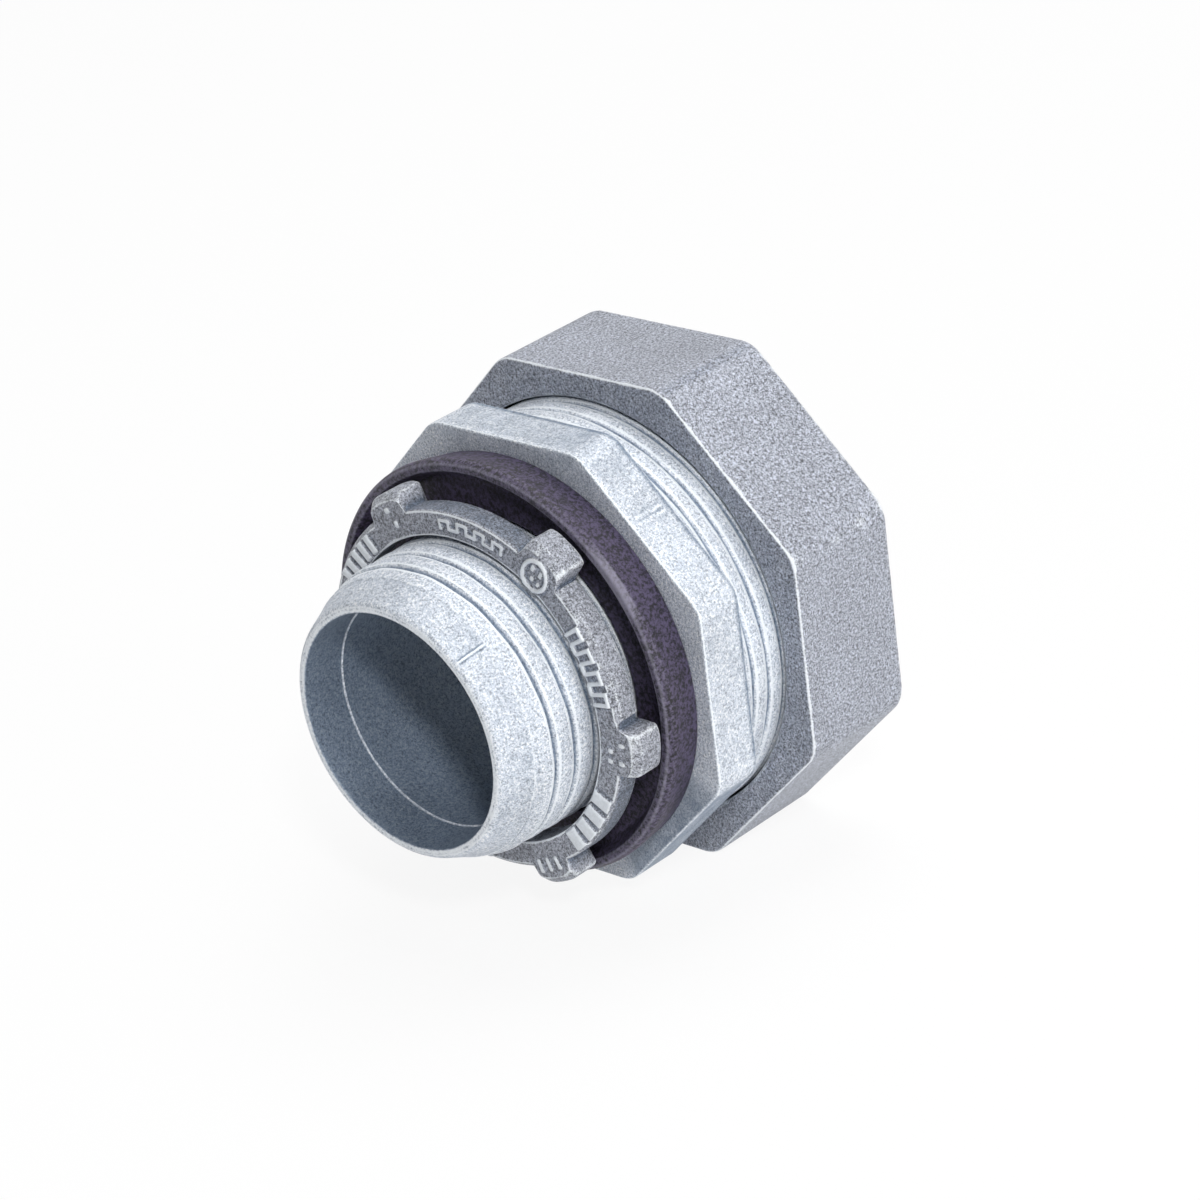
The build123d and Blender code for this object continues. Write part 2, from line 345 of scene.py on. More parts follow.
def thread_rows(x_from, x_to, crest_line, depth, thread, angles, fades, per_turn):
    """Stations of a thread along the axis, from the lower end to the upper, so many to a turn. The
    crest's radius follows a line of (x, r) points. The radius is the crest's less the depth times the
    groove's worth. The crest falls off a little to either side, and both grow from nothing over the
    lengths of the two fades, one at each end."""
    count = int((x_to - x_from) / thread[0] * per_turn)
    x = np.linspace(x_from, x_to, count)[:, None]
    groove = groove_worth(x, angles[None], thread)
    crown = 0.12 * (1 - smooth_step(off_groove(x, angles[None], *thread), 0.1, 0.5))
    fade = smooth_step(x, x_from, x_from + fades[0]) * (1 - smooth_step(x, x_to - fades[1], x_to))
    crest = np.interp(x, *zip(*crest_line))
    radius = crest - depth * np.maximum(groove, crown) * fade
    return np.stack(np.broadcast_arrays(x, radius), axis=-1)


def edge_worth(points, side):
    """How sharply a closed grid bends at each vertex: towards 1 on outer edges, towards -1 in inner
    ones. It is the dot product of the change of the normal and the step, over the step squared, along
    both directions, then blurred with a bell curve, and clipped."""
    along = np.roll(points, -1, axis=0) - np.roll(points, 1, axis=0)
    round_axis = np.roll(points, -1, axis=1) - np.roll(points, 1, axis=1)
    normal = np.cross(along, round_axis) * side
    normal /= np.maximum(np.linalg.norm(normal, axis=-1, keepdims=True), 1e-18)
    bend = 0
    for axis, step in ((0, along), (1, round_axis)):
        change = np.roll(normal, -1, axis=axis) - np.roll(normal, 1, axis=axis)
        bend = bend + (change * step).sum(axis=-1) / np.maximum((step**2).sum(axis=-1), 1e-14)
    mean_r = np.hypot(points[..., 1], points[..., 2]).mean()
    spans = np.linalg.norm(np.roll(points, -1, axis=0) - points, axis=-1).mean(axis=1)
    turns = np.linalg.norm(np.roll(points, -1, axis=1) - points, axis=-1)
    turns = (turns * mean_r / np.hypot(points[..., 1], points[..., 2])).mean(axis=0)
    return np.clip(0.2 * MM * (bell(spans) @ bend @ bell(turns).T), -1, 1)


def bell(spans):
    """Weights that blur values on a closed line, from the lengths of its steps: a bell curve of the
    distance along the line, times the length that each value stands for, with rows that sum to 1."""
    place = np.cumsum(spans) - spans
    apart = np.abs(place[:, None] - place[None])
    apart = np.minimum(apart, spans.sum() - apart)
    weights = np.exp(-0.5 * (apart / EDGE_BLUR) ** 2) * (spans + np.roll(spans, 1))[None]
    return weights / weights.sum(axis=1, keepdims=True)


def swept_ring(name, rows, angles, painted_light=0, drop=0, edges=1.0):
    """A closed ring-shaped mesh from stations by angles of (x, r). A point lies at x along the axis
    and at r times the cosine and sine of its angle across it, lower by the drop. Both directions
    close on themselves.
    The point attribute edge is the share of edges times the edge worth, with the painted light added:
    painted shade below 0 and painted highlight above it."""
    x, r = rows[..., 0], rows[..., 1]
    behind = np.roll(rows, 1, axis=0)
    side = 1 if ((x - behind[..., 0]) * (r + behind[..., 1])).sum() < 0 else -1
    points = np.stack([x, r * np.cos(angles), r * np.sin(angles) - drop], axis=-1)
    stations, turns = x.shape
    here = np.arange(stations)[:, None] * turns + np.arange(turns)[None]
    down = np.roll(here, -1, axis=0)
    quads = np.stack([here, down, np.roll(down, -1, axis=1), np.roll(here, -1, axis=1)], axis=-1)
    quads = quads.reshape(-1, 4)
    piece = mesh_piece(name, points.reshape(-1, 3), quads[:, ::side])
    edge = piece.data.attributes.new("edge", "FLOAT", "POINT")
    worth = edges * edge_worth(points, side) + painted_light
    edge.data.foreach_set("value", worth.astype(np.float32).ravel())
    return piece


def mesh_piece(name, points, quads):
    """A smooth-shaded mesh object at the origin, from points and quads as whole arrays."""
    mesh = bpy.data.meshes.new(name)
    mesh.vertices.add(len(points))
    mesh.vertices.foreach_set("co", points.astype(np.float32).ravel())
    mesh.loops.add(quads.size)
    mesh.loops.foreach_set("vertex_index", quads.astype(np.int32).ravel())
    mesh.polygons.add(len(quads))
    mesh.polygons.foreach_set("loop_start", np.arange(0, quads.size, 4, dtype=np.int32))
    mesh.update(calc_edges=True)
    mesh.validate()
    mesh.polygons.foreach_set("use_smooth", np.ones(len(mesh.polygons), dtype=bool))
    piece = bpy.data.objects.new(name, mesh)
    bpy.context.scene.collection.objects.link(piece)
    return piece


def seam_lift(angles, half_width):
    """1 on the casting's parting line, twice round the axis, and 0 away from it."""
    off = np.abs((angles - PARTING_LINE + HALF_TURN / 2) % HALF_TURN - HALF_TURN / 2)
    return 1 - smooth_step(off, 0.35 * half_width, half_width)


# Shader helpers.


class Wire:
    """A node socket in an expression. The operators add Math nodes."""

    def __init__(self, tree, socket):
        self.tree = tree
        self.socket = socket

    def math(self, operation, first, second):
        return self.tree.node("ShaderNodeMath", {"operation": operation}, {0: first, 1: second})

    def __add__(self, other):
        return self.math("ADD", self, other)

    def __radd__(self, other):
        return self.math("ADD", other, self)

    def __sub__(self, other):
        return self.math("SUBTRACT", self, other)

    def __rsub__(self, other):
        return self.math("SUBTRACT", other, self)

    def __mul__(self, other):
        return self.math("MULTIPLY", self, other)

    def __rmul__(self, other):
        return self.math("MULTIPLY", other, self)


class Tree:
    """A material's node tree, with one method that makes any node."""

    def __init__(self, tree):
        self.tree = tree

    def node(self, kind, settings=None, inputs=None, output=0):
        """Adds a node, sets its settings, then the values or links of its sockets."""
        made = self.tree.nodes.new(kind)
        for key, value in (settings or {}).items():
            if key == "stops":
                ramp = made.color_ramp
                for place, shade in value[1:-1]:
                    ramp.elements.new(place).color = shade
                ramp.elements[0].position, ramp.elements[0].color = value[0]
                ramp.elements[-1].position, ramp.elements[-1].color = value[-1]
            else:
                setattr(made, key, value)
        for key, value in (inputs or {}).items():
            if isinstance(value, Wire):
                self.tree.links.new(value.socket, made.inputs[key])
            else:
                made.inputs[key].default_value = value
        return Wire(self, made.outputs[output])

    def place(self):
        """Object coordinates."""
        return self.node("ShaderNodeTexCoord", output="Object")

    def seen(self):
        """1 for rays that the camera sends, straight or by way of metal or glass, and 0 for others."""
        straight = self.node("ShaderNodeLightPath", output="Is Camera Ray")
        node = straight.socket.node
        by_metal = Wire(self, node.outputs["Is Glossy Ray"])
        by_glass = Wire(self, node.outputs["Is Transmission Ray"])
        every = straight + by_metal + by_glass
        return every.math("MINIMUM", every, 1.0)

    def noise(self, place, scale, detail, roughness):
        """Fractal noise from 0 to 1."""
        return self.node("ShaderNodeTexNoise", {}, {
            "Vector": place, "Scale": scale, "Detail": detail, "Roughness": roughness,
        }, "Fac")

    def ramp(self, value, *stops):
        """A grey or coloured ramp of a value."""
        return self.node("ShaderNodeValToRGB", {"stops": stops}, {"Fac": value}, "Color")

    def blend(self, share, first, second, mode="MIX"):
        """Two colours mixed by a share."""
        made = self.node("ShaderNodeMix", {"data_type": "RGBA", "blend_type": mode}, {0: share})
        node = made.socket.node
        for index, value in ((6, first), (7, second)):
            if isinstance(value, Wire):
                self.tree.links.new(value.socket, node.inputs[index])
            else:
                node.inputs[index].default_value = value
        return Wire(self, node.outputs[2])


def shade(value):
    """A grey as a colour with alpha."""
    return (value, value, value, 1.0)


def tone(rgb, factor=1.0):
    """A colour with alpha, made lighter or darker by a factor."""
    return tuple(min(1.0, channel * factor) for channel in rgb) + (1.0,)


def principled(name):
    """A new material with its Principled shader, as (material, tree, shader node)."""
    material = bpy.data.materials.new(name)
    material.use_nodes = True
    tree = Tree(material.node_tree)
    return material, tree, material.node_tree.nodes["Principled BSDF"]


def feed(tree, shader, **inputs):
    """Links or sets sockets of a shader by name, with underscores for spaces."""
    for key, value in inputs.items():
        socket = shader.inputs[key.replace("_", " ")]
        if isinstance(value, Wire):
            tree.tree.links.new(value.socket, socket)
        else:
            socket.default_value = value


def cast_zinc(name, rgb, grain, contrast):
    """Die-cast zinc: satin, with a fine bright and dark grain, cloudy patches and tiny pits. Outer
    edges are bright in broken runs, as wear and as painted highlight, and inner ones are darkened
    with painted shade, with some dirt at random. The edge attribute also carries the painted shade
    and painted highlight that each piece adds. The grain is the height of its bumps, and the
    contrast that of its colours."""
    material, tree, shader = principled(name)
    place = tree.place()
    speckle = tree.noise(place, 9000.0, 2.0, 0.75)
    grit = tree.noise(place, 4800.0, 3.0, 0.65)
    cloud = tree.noise(place, 170.0, 4.0, 0.6)
    rub = tree.noise(place, 900.0, 3.0, 0.6)
    pits = tree.node("ShaderNodeTexVoronoi", {"feature": "F1"}, {
        "Vector": place, "Scale": 900.0,
    }, "Distance")
    edge = tree.node("ShaderNodeAttribute", {"attribute_name": "edge"}, output="Fac")
    mixed = speckle * 0.55 + grit * 0.45
    dark, light = tone(rgb, 1 - 0.62 * contrast), tone(rgb, 1 + 0.7 * contrast)
    fine = tree.ramp(mixed, (0.39, dark), (0.5, tone(rgb)), (0.61, light))
    clouded = tree.blend(cloud, shade(0.72), shade(1.2))
    base = tree.blend(1.0, fine, clouded, "MULTIPLY")
    uneven = (rub - 0.5) + (speckle - 0.5) * 0.7
    # Wear and painted highlight where the edge attribute is above 0; painted shade, with some dirt at
    # random, where it is below 0.
    wear_and_highlight = tree.ramp(edge * 1.3 + uneven, (0.25, shade(0)), (0.55, shade(1)))
    dirt_and_shade = tree.ramp(edge * -1.0 + (rub - 0.5) * 0.5, (0.08, shade(0)), (0.6, shade(1)))
    base = tree.blend(wear_and_highlight * 0.8, base, ZINC_WEAR_AND_HIGHLIGHT)
    base = tree.blend(dirt_and_shade, base, DIRT_AND_SHADE_TINT, "MULTIPLY")
    roughness = 0.4 + 0.2 * grit + 0.1 * cloud
    height = speckle * 0.35 + grit * 0.5 + pits * 0.25
    bump = tree.node("ShaderNodeBump", {}, {
        "Strength": 0.7 * grain, "Distance": 0.00011, "Height": height,
    }, "Normal")
    feed(tree, shader, Base_Color=base, Metallic=ZINC_METALLIC, Roughness=roughness, Normal=bump)
    return material


def gasket_rubber(name, rgb):
    """Moulded rubber: dark violet with a dull bloom and a fine grain, paler with wear and with painted
    highlight on its outer edges and crest.
    """
    material, tree, shader = principled(name)
    place = tree.place()
    bloom = tree.noise(place, 420.0, 5.0, 0.65)
    grain = tree.noise(place, 4000.0, 3.0, 0.75)
    edge = tree.node("ShaderNodeAttribute", {"attribute_name": "edge"}, output="Fac")
    base = tree.ramp(bloom * 0.2 + grain * 0.8, (0.43, tone(rgb, 0.15)), (0.57, tone(rgb, 3.0)))
    # Paler with wear and painted highlight on outer edges and on the crest near 38 degrees.
    wear_and_highlight = tree.ramp(edge * 0.9 + (grain - 0.5) * 0.8, (0.2, shade(0)), (0.8, shade(1)))
    base = tree.blend(wear_and_highlight * 0.5, base, RUBBER_WEAR_AND_HIGHLIGHT)
    bump = tree.node("ShaderNodeBump", {}, {
        "Strength": 0.6, "Distance": 0.00008, "Height": grain * 0.6 + bloom * 0.4,
    }, "Normal")
    feed(tree, shader, Base_Color=base, Roughness=0.5 + 0.2 * bloom, Normal=bump)
    return material


def natural_nylon(name, rgb):
    """Natural nylon: milky, with faint flow marks."""
    material, tree, shader = principled(name)
    flow = tree.noise(tree.place(), 260.0, 3.0, 0.5)
    base = tree.ramp(flow, (0.3, tone(rgb, 0.9)), (0.7, tone(rgb, 1.08)))
    feed(tree, shader, Base_Color=base, Roughness=0.38 + 0.12 * flow)
    return material


def plated_steel(name, rgb):
    """Zinc-plated steel: bright, with a faint spangle."""
    material, tree, shader = principled(name)
    place = tree.place()
    spangle = tree.noise(place, 900.0, 2.0, 0.5)
    base = tree.ramp(spangle, (0.3, tone(rgb, 0.85)), (0.7, tone(rgb, 1.2)))
    feed(tree, shader, Base_Color=base, Metallic=0.95, Roughness=0.28 + 0.14 * spangle)
    return material


def finish_piece(piece, body, slot, material, *nodes):
    """Gives a piece its material and its body, and hides the solids that it stands for. The slot is not
    used.
    """
    piece.data.materials.append(material)
    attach(piece, body)
    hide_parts(*nodes)


# Pieces.


class CONNECTOR_OT_body(bpy.types.Operator):
    """Make the cast body with its two threads, collar, lip and stepped bore"""

    bl_idname = "connector.body"
    bl_label = "Body"

    def execute(self, context):
        size = context.scene.connector_body
        half_flats = BODY_HIGH.z
        nose_tip, gland_end = BODY_HIGH.x, BODY_LOW.x
        clusters = octagon_clusters(half_flats, size.collar_corner_r)
        seam_half = math.radians(0.6)
        clusters += [
            (PARTING_LINE, math.radians(4.5), 33),
            (PARTING_LINE + HALF_TURN, math.radians(1.2), 9),
        ]
        angles = angles_round(180, clusters)
        flats = octagon_radius(angles, half_flats, size.collar_corner_r)
        seam = seam_lift(angles, seam_half) * size.seam_height
        lip_start = nose_tip - size.lip_length
        nose_thread = (size.nose_pitch, size.nose_lead)
        gland_thread = (size.gland_pitch, size.gland_lead)
        nose = thread_rows(
            0.25 * MM, size.thread_end,
            (
                (0, size.crest_r), (size.lead_start, size.lead_r),
                (size.thread_end, size.pilot_r + 0.08 * MM),
            ),
            size.nose_depth, nose_thread, angles, (0.2 * MM, 0.3 * MM), per_turn=16,
        )
        gland = thread_rows(
            gland_end + 0.5 * MM, -size.collar_width - 0.08 * MM, ((0, size.gland_crest_r),),
            size.gland_depth, gland_thread, angles, (0.5 * MM, 0.9 * MM), per_turn=13,
        )[::-1]
        parts = [
            (ring(nose_tip, size.mouth_r, angles), 0.12 * MM),
            (ring(nose_tip, size.lip_r, angles), 0.1 * MM),
            (ring(lip_start, size.pilot_tip_r + seam, angles), 0.15 * MM),
            (ring(size.thread_end + 0.1 * MM, size.pilot_r + seam, angles), 0.06 * MM),
            (nose[::-1], 0),
            (ring(0, size.crest_r, angles), 0.05 * MM),
            (ring(0, flats, angles), 0.16 * MM),
            (self.collar(size, flats, angles), 0),
            (ring(-size.collar_width, flats, angles), 0.16 * MM),
            (ring(-size.collar_width, size.gland_crest_r, angles), 0),
            (gland, 0),
            (ring(gland_end, size.gland_crest_r - 0.5 * MM, angles), 0.1 * MM),
            (ring(gland_end, size.cone_mouth_r, angles), 0.1 * MM),
            (ring(gland_end + size.cone_length, size.socket_r, angles), 0.2 * MM),
            (ring(-size.seat_depth, size.socket_r, angles), 0.1 * MM),
            (ring(-size.seat_depth, size.throat_r, angles), 0.15 * MM),
            (ring(nose_tip - size.mouth_depth - 0.06 * MM, size.throat_r, angles), 0.03 * MM),
            (ring(nose_tip - size.mouth_depth, size.throat_r + 0.08 * MM, angles), 0.02 * MM),
            (ring(nose_tip - size.mouth_depth + 0.12 * MM, size.throat_r + 0.085 * MM, angles), 0),
        ]
        rows = rounded(parts)
        x, r = rows[..., 0], rows[..., 1]
        # Painted shade in the bore, in the threads' grooves and on the collar, and painted highlight on
        # the gland's crests.
        painted_light = self.bore_shade(size, x, r) + self.outer_shade_and_highlight(size, x, r, angles[None])
        piece = swept_ring("body_casting", rows, angles, painted_light)
        zinc = cast_zinc("body_zinc", context.scene.connector_finish.body_zinc, 1.0, 0.85)
        finish_piece(piece, "fitting", "zinc_body", zinc, "body")
        return {"FINISHED"}

    def bore_shade(self, size, x, r):
        """Painted shade in the bore, as a share below 0: full in the bore, more in its depth, and less on
        the step at the end of the mouth's taper, so that the step shows as a light line."""
        in_bore = 1 - smooth_step(r, size.mouth_r + 0.02 * MM, size.mouth_r + 0.15 * MM)
        deep = 1 - smooth_step(x, BODY_HIGH.x - 12.0 * MM, BODY_HIGH.x - 8.0 * MM)
        on_step = np.abs(x - BODY_HIGH.x + size.mouth_depth) < 0.07 * MM
        return -in_bore * (0.85 + 0.3 * deep - 0.98 * on_step)

    def outer_shade_and_highlight(self, size, x, r, angles):
        """Painted light outside, as a share, below 0 for shade: painted highlight on the gland thread's
        crests, painted shade in both threads' grooves, a darker pilot, and a darker collar, with painted
        shade most at its rear edge, on its top flat and beside a corner, and a painted shadow of the nut
        on one lower flat."""
        nose = groove_worth(x, angles, (size.nose_pitch, size.nose_lead))
        on_nose = (x > 0.4 * MM) * (x < size.thread_end - 0.3 * MM) * (r > size.pilot_r - 0.2 * MM)
        gland = groove_worth(x, angles, (size.gland_pitch, size.gland_lead))
        on_gland = (x < -size.collar_width - 0.3 * MM) * (r > size.cone_mouth_r + 0.3 * MM)
        on_collar = r > size.gland_crest_r + 0.3 * MM
        rear = smooth_step(-x, size.collar_width - 0.42 * MM, size.collar_width - 0.3 * MM)
        top = near_angle(angles, 2 * SECTOR, 0.3, 0.5)
        low = near_angle(angles, -SECTOR, 0.3, 0.42)
        beside = near_angle(angles, math.radians(68.0), 0.08, 0.24)
        # Painted shade over the collar: a little everywhere, more on the top flat and beside the corner
        # at 67.5 degrees, and a painted shadow of the nut on the lower flat.
        cloud = 0.11 + np.maximum(0.12 * top, 0.42 * low) + 0.1 * beside
        pilot = (x > size.thread_end) * (r > size.lip_r)
        threads = -0.8 * nose * on_nose + on_gland * (0.12 - 0.8 * gland)
        return threads - on_collar * (0.8 * rear + cloud) - 0.17 * pilot

    def collar(self, size, flats, angles):
        """Rows over the collar's flats: the flat's radius, plus two thin ribs beside the parting line,
        which fade out short of both edges."""
        x = np.linspace(-0.5 * MM, -size.collar_width + 0.5 * MM, 12)[:, None]
        lift = 0
        for rib in COLLAR_RIBS:
            lift = lift + near_angle(angles[None], rib, math.radians(0.2), math.radians(0.7))
        ends = smooth_step(x, -size.collar_width + 0.5 * MM, -size.collar_width + 0.9 * MM)
        ends = ends * (1 - smooth_step(x, -0.9 * MM, -0.5 * MM))
        radius = flats[None] + size.seam_height * lift * ends
        return np.stack(np.broadcast_arrays(x, radius), axis=-1)


class CONNECTOR_OT_compression_nut(bpy.types.Operator):
    """Make the octagonal compression nut with rounded corners and its inner thread"""

    bl_idname = "connector.compression_nut"
    bl_label = "Compression nut"

    def execute(self, context):
        size = context.scene.connector_nut
        body = context.scene.connector_body
        half_flats = NUT_HIGH.z
        front, rear = NUT_HIGH.x, NUT_LOW.x
        angles = angles_round(256, octagon_clusters(half_flats, size.corner_r))
        flats = octagon_radius(angles, half_flats, size.corner_r)
        floor_front = rear + size.floor_depth
        inner = thread_rows(
            floor_front + size.cone_length + 0.1 * MM, front - 0.8 * MM,
            ((0, size.thread_r + size.thread_depth),),
            size.thread_depth, (body.gland_pitch, body.gland_lead), angles,
            (0.3 * MM, 0.2 * MM), per_turn=8,
        )
        side = np.linspace(front - 0.6 * MM, rear + 1.2 * MM, 10)[:, None]
        parts = [
            (ring(front, size.opening_r, angles), 0.12 * MM),
            (ring(front, flats, angles), size.front_bevel),
            (np.stack(np.broadcast_arrays(side, flats[None]), axis=-1), 0),
            (ring(rear, flats, angles), size.rear_bevel),
            (ring(rear, size.entry_r + 0.4 * MM, angles), 0.1 * MM),
            (ring(rear + 0.4 * MM, size.entry_r, angles), 0.1 * MM),
            (ring(floor_front, size.entry_r, angles), 0.1 * MM),
            (ring(floor_front + size.cone_length, size.thread_r, angles), 0.1 * MM),
            (inner, 0),
            (ring(front - 0.25 * MM, size.thread_r, angles), 0.05 * MM),
        ]
        rows = rounded(parts)
        outside = (rows[..., 1] > half_flats - 0.05 * MM) * (rows[..., 0] < front - 0.1 * MM)
        # Painted shade down the corner at 67.5 degrees, painted highlight down the corner at 22.5
        # degrees, and painted shade on the front face.
        dark = near_angle(angles, 1.5 * SECTOR, 0.012, 0.04)
        light = near_angle(angles, 0.5 * SECTOR, 0.01, 0.035)
        face = rows[..., 0] > front - 0.01 * MM
        painted_light = outside * (0.14 * light - 0.3 * dark) - 0.22 * face
        piece = swept_ring("nut_casting", rows, angles, painted_light, edges=0.65)
        zinc = cast_zinc("nut_zinc", context.scene.connector_finish.nut_zinc, 1.0, 1.25)
        finish_piece(piece, "nut", "zinc_nut", zinc, "compression_nut")
        return {"FINISHED"}


def bars(angle, radius, centre, count, step, width, inner_r, outer_r):
    """A row of raised radial bars: 1 where the angle from the nearest bar's line, times the radius,
    is under half the width, between the inner and outer radius, with soft edges."""
    along = from_angle(angle, centre)
    nearest = np.clip(np.round(along / step + (count - 1) / 2), 0, count - 1) - (count - 1) / 2
    across = np.abs(along - nearest * step) * radius
    side = 1 - smooth_step(across, 0.3 * width, 0.55 * width)
    soft = 0.12 * MM
    inner_end = smooth_step(radius, inner_r, inner_r + soft)
    outer_end = 1 - smooth_step(radius, outer_r - soft, outer_r)
    return side * inner_end * outer_end


def arch_links(angle, radius, centre, count, step, width, inner_r, outer_r):
    """Short raised arcs that join neighbouring bars of a row, in turn at their outer and inner ends."""
    along = from_angle(angle, centre) / step + (count - 1) / 2
    inside = (along > 0) & (along < count - 1)
    at_r = np.where(np.floor(along) % 2 == 0, outer_r - width / 2, inner_r + width / 2)
    return inside * (1 - smooth_step(np.abs(radius - at_r), 0.3 * width, 0.55 * width))


class CONNECTOR_OT_locknut(bpy.types.Operator):
    """Make the locknut with its lugs, its pads and plain raised bars on its face"""

    bl_idname = "connector.locknut"
    bl_label = "Locknut"

    def execute(self, context):
        size = context.scene.connector_locknut
        front, lug_back = LOCKNUT_HIGH.x, LOCKNUT_LOW.x
        ring_back = front - size.ring_thickness
        half_lug = math.asin(size.lug_width / 2 / size.lug_r)
        side = math.radians(0.9)
        flanks = [turn + sign * half_lug for turn in size.lug_turns for sign in (-1, 1)]
        angles = angles_round(900, [(flank, 1.6 * side, 9) for flank in flanks])
        off_lug = np.min([np.abs(from_angle(angles, turn)) for turn in size.lug_turns], axis=0)
        on_lug = 1 - smooth_step(off_lug, half_lug - side, half_lug + side)
        off_pad = np.abs((angles - size.pad_turn + PAD_SPACING / 2) % PAD_SPACING - PAD_SPACING / 2)
        on_pad = 1 - smooth_step(off_pad, size.pad_half - 0.4 * side, size.pad_half + 0.4 * side)
        ring_r = size.ring_r + size.pad_step * on_pad
        round_off = 0.4 * MM * np.minimum(off_lug / half_lug, 1) ** 4
        outer = ring_r + (size.lug_r - round_off - ring_r) * on_lug
        back = ring_back + (lug_back - ring_back) * on_lug
        level = front - size.bar_height
        bevel = 0.12 * MM + (size.pad_bevel - 0.12 * MM) * on_pad
        bevel = bevel + (size.lug_bevel - bevel) * on_lug
        share = np.linspace(0.06, 0.97, 26)[:, None]
        face_r = size.bore_r + (outer - bevel - size.bore_r)[None] * share
        raised = self.marks(size, angles[None] + 0 * face_r, face_r)
        face = np.stack([level + raised * size.bar_height, face_r], axis=-1)
        parts = [
            (ring(level, size.bore_r, angles), 0.15 * MM),
            (face, 0),
            (ring(level, outer - bevel, angles), 0.08 * MM),
            (ring(level - bevel, outer, angles), 0.12 * MM),
            (ring(back, outer, angles), size.edge_r),
            (ring(back, size.bore_r, angles), 0.15 * MM),
        ]
        rows = rounded(parts, 3)
        painted_light = np.zeros(rows.shape[:2])
        first = len(rows) - len(rounded(parts[1:], 3))
        # Painted highlight on the face's raised bars, and painted shade on the ring behind the face's
        # outer edge, away from the lugs and pads.
        painted_light[first:first + len(face)] = 1.1 * raised**2
        painted_light[first + len(face) + 5:] -= 0.5 * (1 - on_lug) * (1 - on_pad)
        piece = swept_ring("locknut_casting", rows, angles, painted_light, size.drop, 0.6)
        zinc = cast_zinc("locknut_zinc", context.scene.connector_finish.locknut_zinc, 1.2, 1.2)
        finish_piece(piece, "locknut", "zinc_locknut", zinc, "locknut")
        return {"FINISHED"}

    def marks(self, size, angle, radius):
        """How far the face is raised at each angle and radius: plain bars, a row of arches, an oval
        line beside a lug, and two short bars on each lug."""
        raised = np.zeros_like(radius)
        for degrees, count, step, width, low_mm, high_mm, height in BAR_ROWS:
            raised = np.maximum(raised, height * bars(
                angle, radius, math.radians(degrees), count, math.radians(step),
                width * size.bar_width, low_mm * MM, high_mm * MM,
            ))
        for degrees, count, step, low_mm, high_mm, height in ARCH_ROWS:
            row = (
                angle, radius, math.radians(degrees), count, math.radians(step),
                ARCH_BAR_WIDTH * size.bar_width, low_mm * MM, high_mm * MM,
            )
            raised = np.maximum(raised, height * bars(*row))
            raised = np.maximum(raised, height * arch_links(*row))
        across = from_angle(angle, math.radians(54.0)) * radius / (1.12 * MM)
        along = (radius - 12.2 * MM) / (1.28 * MM)
        oval = np.hypot(across, along)
        return np.maximum(raised, 1 - smooth_step(np.abs(oval - 0.88), 0.07, 0.17))


class CONNECTOR_OT_gasket(bpy.types.Operator):
    """Make the moulded gasket with its dished front and crest"""

    bl_idname = "connector.gasket"
    bl_label = "Gasket"

    def execute(self, context):
        size = context.scene.connector_gasket
        front = GASKET_HIGH.x
        angles = angles_round(300)
        floor = front - size.recess_depth
        off_sag = from_angle(angles, math.radians(135.0))
        sag = size.sag * (1 + np.cos(np.clip(2 * off_sag, -math.pi, math.pi))) / 2
        parts = [
            (ring(0.02 * MM, size.bore_r, angles), 0.1 * MM),
            (ring(floor, size.bore_r, angles), 0.15 * MM),
            (ring(floor, size.recess_r + sag, angles), 0.3 * MM),
            (ring(front, size.crest_low_r + sag, angles), 0.14 * MM),
            (ring(front, size.crest_high_r + sag, angles), 0.14 * MM),
            (ring(front - size.crest_drop, size.side_r + sag, angles), 0.3 * MM),
            (ring(0.02 * MM, size.foot_r, angles), 0.2 * MM),
        ]
        rows = rounded(parts)
        on_crest = (rows[..., 0] > front - size.crest_drop) * (rows[..., 1] > size.crest_low_r)
        # Painted highlight specks on the crest near 38 degrees.
        crest_highlight = on_crest * near_angle(angles, math.radians(38.0), 0.05, 0.25)
        piece = swept_ring("gasket_moulding", rows, angles, 0.6 * crest_highlight)
        rubber = gasket_rubber("gasket_rubber", context.scene.connector_finish.rubber)
        finish_piece(piece, "fitting", "gasket_rubber", rubber, "gasket")
        return {"FINISHED"}


class CONNECTOR_OT_inner_parts(bpy.types.Operator):
    """Give the sealing ring and the ferrule their finishes"""

    bl_idname = "connector.inner_parts"
    bl_label = "Sealing ring and ferrule"

    def execute(self, context):
        finish = context.scene.connector_finish
        for node, material in (
            ("sealing_ring", natural_nylon("ring_nylon", finish.nylon)),
            ("ferrule", plated_steel("ferrule_steel", finish.plated)),
        ):
            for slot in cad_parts[node].material_slots:
                slot.material = material
        return {"FINISHED"}


